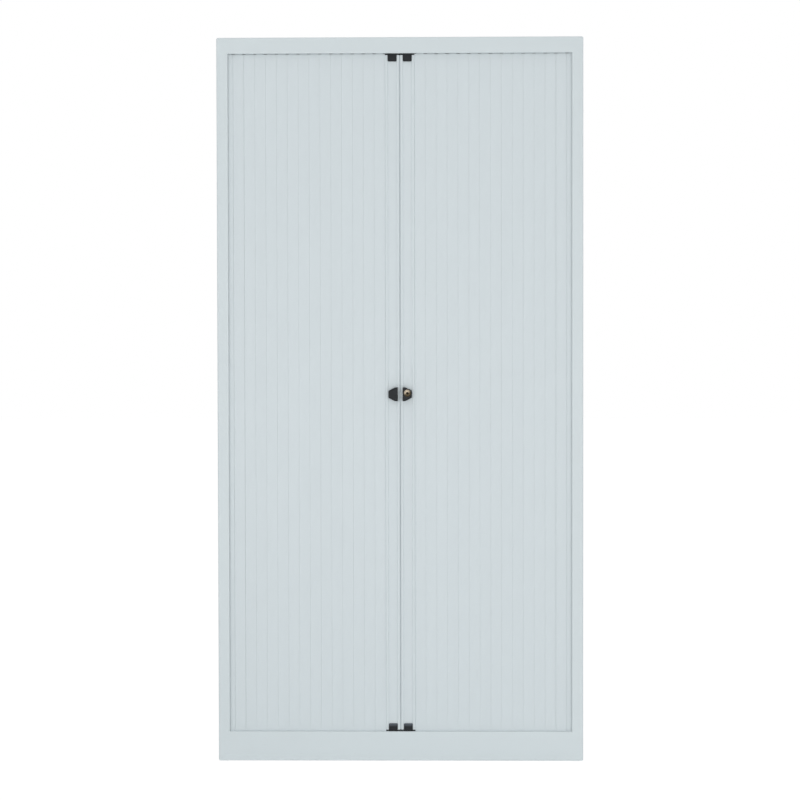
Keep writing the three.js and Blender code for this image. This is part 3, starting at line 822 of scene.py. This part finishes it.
def rivet_tree():
    """A low domed head at each of the points that come in."""
    group, tree, given = geometry_tree("rivets_on_points", [], ["Radius", "Rise"])
    ball = {"Segments": 14, "Rings": 8, "Radius": given["Radius"]}
    head = tree.add("GeometryNodeMeshUVSphere", ball).outputs[0]
    squeeze = tree.vector(1.0, tree.math("DIVIDE", given["Rise"], given["Radius"]), 1.0)
    head = tree.add("GeometryNodeTransform", {"Geometry": head, "Scale": squeeze}).outputs[0]
    head = tree.add("GeometryNodeSetShadeSmooth", {0: head}).outputs[0]
    copies = tree.add("GeometryNodeInstanceOnPoints", {"Points": given["Geometry"], "Instance": head})
    finish_tree(tree, copies.outputs[0], given["Material"])
    return group


# The carcass

def plan_ring(inset, z):
    """The carcass's outline in plan at one height, drawn in by the inset."""
    x, front, back = HALF_WIDTH - inset, FRONT + inset, BACK - inset
    radius = max(CORNER + SHEET - inset, EDGE)
    ring = rounded([(-x, front), (x, front), (x, back), (-x, back)], [radius] * 4, steps=5)
    return [(a, b, z) for a, b in ring]


def top_form(inset, low):
    """A solid block under the top's rounded edges, drawn in by the inset."""
    radius = TOP_RADIUS - inset
    rings = [plan_ring(inset, low)]
    for i in range(TOP_STEPS + 1):
        angle = math.pi / 2 * i / TOP_STEPS
        draw_in = inset + radius * (1 - math.cos(angle))
        rings.append(plan_ring(draw_in, TOP - TOP_RADIUS + radius * math.sin(angle)))
    return loft("top", rings)


def low_corner(side):
    """What the rounding takes off a side panel's lower edge, from front to back."""
    x, z = HALF_WIDTH - LOW_RADIUS, CARCASS_LOW + LOW_RADIUS
    points = arc((x, z), LOW_RADIUS, (0, -1), (1, 0), steps=6)
    past = [(HALF_WIDTH + LIP, z), (HALF_WIDTH + LIP, CARCASS_LOW - LIP), (x, CARCASS_LOW - LIP)]
    return prism("low_corner", mirrored(points + past, side), FRONT - LIP, BACK + LIP, "Y")


def welded_carcass(material):
    """Side panels, top with its rail, and plinth, welded and painted as one."""
    skirt = TOP - TOP_RADIUS - WELD_LAP
    walls = []
    for side, name in ((1, "right"), (-1, "left")):
        path = [
            (STILE_X, FRONT + LIP),
            (STILE_X, FRONT),
            (HALF_WIDTH, FRONT),
            (HALF_WIDTH, BACK),
            (HALF_WIDTH - REAR_RETURN, BACK),
        ]
        bends = [BEND, CORNER, CORNER]
        bends = bends if side > 0 else bends[::-1]
        wall = bent_sheet(f"{name}_wall", mirrored(path, side), CARCASS_LOW, skirt, "Z", bends)
        inner, outer = sorted((side * (STILE_X - WELD_LAP), side * (STILE_X + WELD_LAP)))
        ends = ((CARCASS_LOW - LIP, PLINTH_TOP - SHEET / 2), (RAIL_Z + SHEET / 2, TOP + LIP))
        notches = [
            block("notch", (inner, FRONT - LIP, low), (outer, FRONT + LIP + SHEET, high))
            for low, high in ends
        ]
        walls.append(cut(wall, low_corner(side), *notches))
    reach = STILE_X + WELD_LAP
    rail_path = [(FRONT, skirt), (FRONT, RAIL_Z), (FRONT + LIP, RAIL_Z)]
    rail = bent_sheet("rail", rail_path, -reach, reach, "X")
    plinth_path = [
        (FRONT + PLINTH_LIP, PLINTH_TOP),
        (FRONT, PLINTH_TOP),
        (FRONT, CARCASS_LOW),
        (FRONT + PLINTH_FOOT, CARCASS_LOW),
    ]
    plinth = bent_sheet("plinth", plinth_path, -reach, reach, "X")
    cover = cut(top_form(0, skirt), top_form(SHEET, skirt - LIP))
    shell = weld(*walls, rail, plinth, cover)
    shell.name = "welded_carcass"
    tidy_mesh(shell)
    broken_edges(shell, EDGE)
    fit(shell, material, "carcass_paint", "right_side", "left_side", "top_panel", "plinth_panel")


def pressed_rib(x, low, high, y):
    """A long shallow swage with round ends that stands out of a sheet's rear face at y."""
    rings = []
    for rise, inset in RIB_STEPS:
        half = RIB_WIDTH / 2 - inset
        z0, z1 = low + inset, high - inset
        corners = [(x - half, z0), (x + half, z0), (x + half, z1), (x - half, z1)]
        rings.append([(a, y + rise, b) for a, b in rounded(corners, [half * RIB_END] * 4, steps=6)])
    return loft("rib", rings)


def rear_panel(material, rivets):
    """The back sheet with three pressed ribs and a row of rivets round its edge."""
    low, high = BACK_PANEL
    corners = [(low.x, low.z), (high.x, low.z), (high.x, high.z), (low.x, high.z)]
    panel = prism("rear_panel", rounded(corners, [0, 0, TOP_RADIUS, TOP_RADIUS]), low.y, high.y, "Y")
    ends = low.z + RIB_CLEAR, high.z - RIB_CLEAR
    panel = weld(panel, *[pressed_rib(HALF_WIDTH * share, *ends, high.y) for share in RIB_PLACES])
    tidy_mesh(panel)
    broken_edges(panel, EDGE)
    fit(panel, material, "carcass_paint", "back_panel")
    across = int((high.x - low.x - 2 * RIVET_INSET) / RIVET_PITCH)
    up = int((high.z - low.z - 2 * RIVET_INSET) / RIVET_PITCH)
    left, right = low.x + RIVET_INSET, high.x - RIVET_INSET
    bottom, top = low.z + RIVET_INSET, high.z - RIVET_INSET
    places = []
    for i in range(up + 1):
        z = bottom + (top - bottom) * i / up
        places += [(left, high.y, z), (right, high.y, z)]
    for i in range(1, across):
        x = left + (right - left) * i / across
        places += [(x, high.y, bottom), (x, high.y, top)]
    values = {"Radius": RIVET_RADIUS, "Rise": RIVET_RISE, "Material": material}
    heads = shape_by(mesh_piece("rear_rivets", places, []), rivets, values)
    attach(heads, "carcass")


def lining(name, material, slotted):
    """A flat lining with its slots cut through."""
    low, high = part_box(f"{name}_liner")
    plate = block(f"{name}_lining", low, high)
    rows = math.floor((high.z - PLINTH_TOP - SLOT_RISE) / SLOT_PITCH)
    plate = shape_by(plate, slotted, {
        "Rows": rows,
        "Pitch": SLOT_PITCH,
        "First Height": PLINTH_TOP + SLOT_RISE + SLOT_SIZE[1] / 2,
        "Plane": (low.x + high.x) / 2,
        "Near Column": low.y + SLOT_INSET,
        "Far Column": high.y - SLOT_INSET,
        "Slot Width": SLOT_SIZE[0],
        "Slot Height": SLOT_SIZE[1],
        "Reach": SLOT_REACH,
        "Material": material,
    })
    tidy_mesh(plate)
    broken_edges(plate, EDGE, segments=1)
    fit(plate, material, "carcass_paint", f"{name}_liner")


def hung_shelf(number, material):
    """A folded tray with a hooked tab at each corner, hung in the linings' slots."""
    node = f"shelf_{number}"
    low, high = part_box(node)
    liner_low, liner_high = LINER_BOX
    half = liner_low.x - SHELF_CLEAR
    top = high.z
    path = [
        (high.y, top - SHELF_REAR),
        (high.y, top),
        (low.y, top),
        (low.y, low.z),
        (low.y + SHELF_HEM, low.z),
    ]
    tray = bent_sheet(f"hung_{node}", path, -half, half, "X")
    tab_low = top - TAB_SIZE[1]
    hook_in = liner_high.x + SEAT
    tabs = []
    for side in (-1, 1):
        for y in (liner_low.y + SLOT_INSET, liner_high.y - SLOT_INSET):
            near, far = y - TAB_SIZE[0] / 2, y + TAB_SIZE[0] / 2
            for inner, base in ((half - SHEET, tab_low), (hook_in, tab_low - TAB_DROP)):
                x0, x1 = sorted((side * inner, side * high.x))
                tabs.append(block("tab", (x0, near, base), (x1, far, top - SHEET / 2)))
    tray = weld(tray, *tabs)
    tidy_mesh(tray)
    broken_edges(tray, SHELF_EDGE)
    fit(tray, material, "carcass_paint", node)


def pressed_copy(node, name, material, slot):
    """A free copy of a node's solid, merged and with its edges broken."""
    piece = new_object(name, frame["nodes"][node].data.copy())
    tidy_mesh(piece)
    broken_edges(piece, EDGE)
    fit(piece, material, slot, node)


# The curtains

def slat_outline(gap):
    """Section of the first slat on the right, in plan: rounded face, hinge tongue and socket."""
    start = SLAT_X - SEAT + gap
    end = SLAT_X + SLAT_WIDTH
    tongue_front = SLAT_SKIN + SEAT
    tongue_back = tongue_front + TONGUE
    lip = tongue_back + RUNNING
    socket = end - SOCKET
    body = SLAT_X + SEAT + SOCKET_LIP
    edge, small = SLAT_EDGE, SLAT_EDGE / 2
    corners = [
        (start, 0, edge),
        (end, 0, edge),
        (end, SLAT_SKIN, small),
        (socket, SLAT_SKIN, 0),
        (socket, lip, 0),
        (end - SOCKET_LIP, lip, small),
        (end - SOCKET_LIP, lip + SOCKET_LIP, small),
        (socket, SLAT_DEPTH, edge),
        (body, SLAT_DEPTH, edge),
        (body, tongue_back, 0),
        (SLAT_X - TONGUE_REACH, tongue_back, edge),
        (SLAT_X - TONGUE_REACH, tongue_front, edge),
        (body, tongue_front, 0),
        (body, SLAT_SKIN, 0),
        (start, SLAT_SKIN, small),
    ]
    return rounded_section(corners, SLAT_FACE, steps=3)


def section_curve(name, points):
    """A closed outline as a curve in plan."""
    curve = bpy.data.curves.new(name, "CURVE")
    curve.dimensions = "2D"
    curve.fill_mode = "NONE"
    line = curve.splines.new("POLY")
    line.points.add(len(points) - 1)
    for target, (x, y) in zip(line.points, points):
        target.co = (x, y, 0, 1)
    line.use_cyclic_u = True
    return new_object(name, curve)


def curtain(side, name, material, by_number):
    """One door's slats, each drawn by its number from the leading profile."""
    for number in range(1, SLATS + 1):
        node = f"{name}_slat_{number}"
        low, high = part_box(node)
        gap = SLAT_GAP if number <= SLATS - WIDE_GAPS else WIDE_GAP
        section = section_curve(f"{node}_strip", mirrored(slat_outline(gap), side))
        strip = shape_by(section, by_number, {
            "Number": number,
            "Side": float(side),
            "Pitch": SLAT_PITCH,
            "Low": SLAT_LOW,
            "High": SLAT_HIGH,
            "Pin Middle": SLAT_X + SLAT_WIDTH / 2,
            "Pin Front": PIN_FRONT,
            "Pin Length": PIN_LENGTH,
            "Pin Depth": PIN_DEPTH,
            "Pin Low": low.z,
            "Pin High": high.z,
            "Material": material,
        })
        smooth(strip)
        fit(strip, material, "slat_paint", node)


def lead_corners(side):
    """Section of a leading profile: raised bands, a channel, a socket, and the lap or its rebate."""
    step = SLAT_FACE - LEAD_FACE
    socket_front = step + SLAT_SKIN
    socket_back = socket_front + SEAT + TONGUE + RUNNING
    big, small = LEAD_ROUND, LEAD_ROUND / 3
    lap_back = LAP_DEPTH + LAP_THICKNESS
    if side < 0:
        reach = -LEAD_X - LAP_REACH
        lap = [
            (LEAD_X, lap_back, 0),
            (reach, lap_back, small),
            (reach, LAP_DEPTH, small),
            (LEAD_X, LAP_DEPTH, 0),
        ]
    else:
        front, back = LAP_DEPTH - RUNNING, lap_back + RUNNING
        reach = LEAD_X + LAP_REACH + RUNNING
        lap = [
            (LEAD_X, back, small),
            (reach, back, 0),
            (reach, front, 0),
            (LEAD_X, front, small),
        ]
    return [
        (LEAD_X, 0, big),
        (LEAD_X + LEAD_BAND, 0, small),
        (LEAD_X + LEAD_BAND, LEAD_CHANNEL, small),
        (LEAD_END - LEAD_BAND, LEAD_CHANNEL, small),
        (LEAD_END - LEAD_BAND, 0, small),
        (LEAD_END, 0, big),
        (LEAD_END, socket_front, small),
        (LEAD_END - SOCKET, socket_front, 0),
        (LEAD_END - SOCKET, socket_back, 0),
        (LEAD_END, socket_back, small),
        (LEAD_END, LEAD_DEPTH, big),
        (LEAD_X, LEAD_DEPTH, big),
        *lap,
    ]


def lead_outline(side):
    """The same section for either side, with its fillets."""
    return mirrored(rounded_section(lead_corners(side), LEAD_FACE, steps=4), side)


def leading_profile(side, name, material):
    """A door's leading profile, drawn upright."""
    low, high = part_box(f"{name}_lead")
    piece = prism(f"{name}_leading_profile", lead_outline(side), low.z, high.z)
    smooth(piece)
    fit(piece, material, "slat_paint", f"{name}_lead")


def pad_face(middle, root, tip, inset):
    """The pad's outline, drawn in a little at its sides and more at its tip."""
    half = SHOE_HALF - inset * SHOE_TAPER
    near, far = middle - half, middle + half
    end = tip - math.copysign(inset, tip - root)
    corners = [(near, root), (far, root), (far, end), (near, end)]
    return rounded(corners, [0, 0, SHOE_CORNER, SHOE_CORNER], steps=6)


def pad_steps(front, back):
    """Depths of the pad's outlines and the draw-in at each, on a quarter of an ellipse."""
    steps = []
    for i in range(SHOE_STEPS + 1):
        angle = math.pi / 2 * i / SHOE_STEPS
        reach = (LEAD_FACE - front) * (1 - math.cos(angle))
        steps.append((front + reach, SHOE_NOSE * (1 - math.sin(angle))))
    return steps + [(back, 0)]


def end_shoe(side, name, where, material):
    """A flange over the profile's end, a crowned pad in its channel, and a pin in the track."""
    node = f"{name}_{where}_shoe"
    low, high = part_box(node)
    if where == "bottom":
        near, tip, pin_end = PLINTH_TOP + SEAT, high.z, low.z
        far = near + FLANGE
    else:
        far, tip, pin_end = RAIL_Z - SEAT, low.z, high.z
        near = far - FLANGE
    flange = prism(f"{node}_moulding", lead_outline(side), near, far)
    middle = side * (LEAD_X + LEAD_END) / 2
    left, right = middle - SHOE_HALF, middle + SHOE_HALF
    root = (near + far) / 2
    pad = loft("pad", [
        [(x, y, z) for x, z in pad_face(middle, root, tip, inset)]
        for y, inset in pad_steps(low.y, LEAD_FACE + LEAD_CHANNEL - SEAT)
    ])
    base = block("base", (left, low.y, near), (right, LEAD_FACE + LEAD_DEPTH / 2, far))
    pin_low, pin_high = sorted((root, pin_end))
    pin = block("pin", (left, PIN_FRONT, pin_low), (right, PIN_FRONT + PIN_DEPTH, pin_high))
    shoe = weld(flange, pad, base, pin)
    tidy_mesh(shoe)
    broken_edges(shoe, SHOE_EDGE, segments=3, angle=50)
    fit(shoe, material, "black_plastic", node)


# Grips and lock

def grip_ring(side, y, inset):
    """The grip's outline at one depth, drawn in by the inset on its sloping sides."""
    low, high = GRIP_BOX
    wide, tall = high.x - low.x, high.z - low.z
    middle = (low.z + high.z) / 2
    points = []
    for across, up in GRIP_OUTLINE_SHARES:
        x = across * wide - high.x - (inset if across else -inset / 3)
        z = middle + up * tall - math.copysign(inset, up)
        points.append((x, z))
    ring = rounded(points, GRIP_CORNERS, steps=5)
    return [(side * x, y, z) for x, z in ring]


def boss_ring(y, inset):
    """The round boss about the lock at one depth."""
    radius = BOSS_RADIUS - inset
    angles = [2 * math.pi * i / FINE_TURN for i in range(FINE_TURN)]
    return [(BARREL_X + radius * math.cos(t), y, BARREL_Z + radius * math.sin(t)) for t in angles]


def grip(side, name, material):
    """A moulded grip with sloping sides. The right one has the lock's boss and bore."""
    low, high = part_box(f"{name}_grip")
    steps = [(low.y + share * (high.y - low.y), slope * GRIP_SLOPE) for share, slope in GRIP_STEPS]
    piece = loft(f"{name}_moulded_grip", [grip_ring(side, y, inset) for y, inset in steps])
    if side > 0:
        piece = weld(piece, loft("boss", [boss_ring(y, inset / 2) for y, inset in steps]))
        radius = BARREL_RADIUS + BARREL_PLAY
        bore = [(radius, low.y - LIP), (radius, high.y + LIP)]
        piece = cut(piece, turned("bore", bore, BARREL_X, 0, BARREL_Z, "Y"))
        tidy_mesh(piece)
    smooth(piece, angle=50)
    fit(piece, material, "black_plastic", f"{name}_grip")


def domed_barrel(material):
    """A shallow dome with a rolled edge, a disc with the key's slot, and the hook's spigot."""
    low, high = BARREL_BOX
    dome = GRIP_BOX[0].y - low.y
    disc = BARREL_RADIUS * 0.60
    groove = dome * 0.18
    face = (  # (radius, share of the dome's rise)
        (KEY_HOLE * 1.1, 0.06),
        (KEY_HOLE * 1.35, 0),
        (disc * 0.7, 0.04),
        (disc, 0.12),
        (disc + groove, 0.42),
        (disc + 2 * groove, 0.16),
        (BARREL_RADIUS * 0.86, 0.42),
        (BARREL_RADIUS * 0.97, 0.78),
        (BARREL_RADIUS, 1.1),
    )
    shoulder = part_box("lock_hook")[0].y - SEAT
    profile = [
        (AXIS, low.y + KEY_SINK),
        (KEY_HOLE, low.y + KEY_SINK),
        *[(radius, low.y + dome * share) for radius, share in face],
        (BARREL_RADIUS, shoulder),
        (SPIGOT_RADIUS, shoulder),
        (SPIGOT_RADIUS, high.y),
        (AXIS, high.y),
    ]
    piece = turned("domed_lock_barrel", profile, BARREL_X, 0, BARREL_Z, "Y", segments=FINE_TURN)
    half_width, half_height = KEYWAY[0] / 2, KEYWAY[1] / 2
    slot = block(
        "key_slot",
        (BARREL_X - half_width, low.y - LIP, BARREL_Z - half_height),
        (BARREL_X + half_width, low.y + KEYWAY_DEPTH, BARREL_Z + half_height),
    )
    piece = cut(piece, slot)
    smooth(piece, angle=30)
    fit(piece, material, "lock_brass", "lock_barrel")


# Feet

def levelling_foot(number, material):
    """A moulded pad with a rounded rim on a threaded stud."""
    node = f"foot_{number}"
    low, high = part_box(node)
    x, y = (low.x + high.x) / 2, (low.y + high.y) / 2
    pad = (high.x - low.x) / 2
    thick, stud = FOOT_THICKNESS, STUD_RADIUS
    outline = (  # (radius, share of the thickness)
        (AXIS, 0),
        (pad * 0.90, 0),
        (pad * 0.98, 0.12),
        (pad, 0.30),
        (pad, 0.55),
        (pad * 0.96, 0.75),
        (pad * 0.60, 0.90),
        (stud * 1.7, 1),
        (stud * 1.7, 1.4),
        (stud, 1.4),
    )
    profile = [(radius, low.z + thick * share) for radius, share in outline]
    turns = int((high.z - low.z - thick * THREAD_ENDS) / THREAD_PITCH)
    start = low.z + thick * THREAD_START
    for turn in range(turns):
        z = start + turn * THREAD_PITCH
        profile += [(stud, z), (stud - THREAD_DEPTH, z + THREAD_PITCH / 2)]
    profile += [(stud - THREAD_DEPTH, high.z), (AXIS, high.z)]
    piece = turned(f"levelling_{node}", profile, x, y, 0, "Z", segments=40)
    smooth(piece, angle=30)
    fit(piece, material, "black_plastic", node)


# The stage

def seen_directly(tree):
    """1 for rays from the camera and from reflections and 0 for others, and the kinds of ray."""
    rays = tree.add("ShaderNodeLightPath").outputs
    return tree.math("MAXIMUM", rays["Is Camera Ray"], rays["Is Glossy Ray"]), rays


def mixed_shaders(tree, share, first, second):
    """The first node's shader, giving way to the second's by a share."""
    given = {"Fac": share, 1: first.outputs[0], 2: second.outputs[0]}
    return tree.add("ShaderNodeMixShader", given).outputs[0]


def studio():
    """A white background that lights the object more weakly than it looks."""
    scene = bpy.context.scene
    scene.view_settings.view_transform = "Standard"
    world = bpy.data.worlds.new("studio_world")
    scene.world = world
    world.use_nodes = True
    world.node_tree.nodes.clear()
    tree = Tree(world.node_tree)
    seen, rays = seen_directly(tree)
    seen = tree.math("MAXIMUM", seen, rays["Is Transmission Ray"])
    lit = tree.add("ShaderNodeBackground", {"Color": WHITE, "Strength": WORLD_STRENGTH})
    bright = tree.add("ShaderNodeBackground", {"Color": WHITE})
    tree.add("ShaderNodeOutputWorld", {"Surface": mixed_shaders(tree, seen, lit, bright)})


def studio_floor():
    """A pale floor that reads as white from the camera and keeps the object's shadow."""
    coat = Finish("pale_floor")
    coat.feed(coat.shader.inputs["Base Color"], (FLOOR_TONE, FLOOR_TONE, FLOOR_TONE, 1))
    coat.feed(coat.shader.inputs["Roughness"], FLOOR_ROUGHNESS)
    share = coat.times(seen_directly(coat)[0], FLOOR_GLOW_SHARE)
    glow = coat.add("ShaderNodeEmission", {"Strength": FLOOR_GLOW})
    coat.feed(coat.output.inputs["Surface"], mixed_shaders(coat, share, coat.shader, glow))
    far = FLOOR_REACH
    corners = [(-far, -far, 0), (far, -far, 0), (far, far, 0), (-far, far, 0)]
    floor = mesh_piece("studio_floor", corners, [(0, 1, 2, 3)])
    floor.data.materials.append(coat.material)


def soft_light(name, place, target, size, power):
    """A rectangular lamp aimed at its target."""
    light = bpy.data.lights.new(name, "AREA")
    light.shape = "RECTANGLE"
    light.size, light.size_y = size
    light.energy = power
    lamp = new_object(name, light)
    lamp.location = place
    aim = Vector(target) - Vector(place)
    lamp.rotation_euler = aim.to_track_quat("-Z", "Y").to_euler()


def photo_camera():
    """The photograph's view."""
    data = bpy.data.cameras.new("photo_view")
    data.lens = CAMERA_LENS
    data.sensor_width = SENSOR
    camera = new_object("photo_view", data)
    turn = (
        Matrix.Rotation(math.radians(CAMERA_YAW), 4, "Z")
        @ Matrix.Rotation(math.radians(90 + CAMERA_PITCH), 4, "X")
        @ Matrix.Rotation(math.radians(CAMERA_ROLL), 4, "Z")
    )
    camera.matrix_world = Matrix.Translation(CAMERA_PLACE) @ turn
    bpy.context.scene.camera = camera


# The whole cabinet

def build():
    """Every piece of the cabinet, in its finish."""
    paint = powder_coat()
    slat_paint = slat_plastic()
    black = black_plastic()
    brass = lock_metal()
    zinc = zinc_plate()
    grey = track_plastic()
    foot_black = foot_plastic()
    by_number, slotted, rivets = slat_tree(), slotted_tree(), rivet_tree()
    welded_carcass(paint)
    rear_panel(paint, rivets)
    pressed_copy("base_pan", "load_pan", paint, "carcass_paint")
    pressed_copy("cabinet_floor", "floor_tray", paint, "carcass_paint")
    pressed_copy("top_track", "upper_track", grey, "track_plastic")
    pressed_copy("bottom_track", "lower_track", grey, "track_plastic")
    for number in range(1, SHELVES_AND_FEET + 1):
        hung_shelf(number, paint)
        levelling_foot(number, foot_black)
    for side, name in ((-1, "left"), (1, "right")):
        lining(name, paint, slotted)
        curtain(side, name, slat_paint, by_number)
        leading_profile(side, name, slat_paint)
        grip(side, name, black)
        end_shoe(side, name, "top", black)
        end_shoe(side, name, "bottom", black)
    domed_barrel(brass)
    pressed_copy("lock_hook", "swinging_hook", zinc, "lock_zinc")
    pressed_copy("lock_keeper", "headed_keeper", zinc, "lock_zinc")


build()
studio()
studio_floor()
for lamp in LAMPS:
    soft_light(*lamp)
photo_camera()
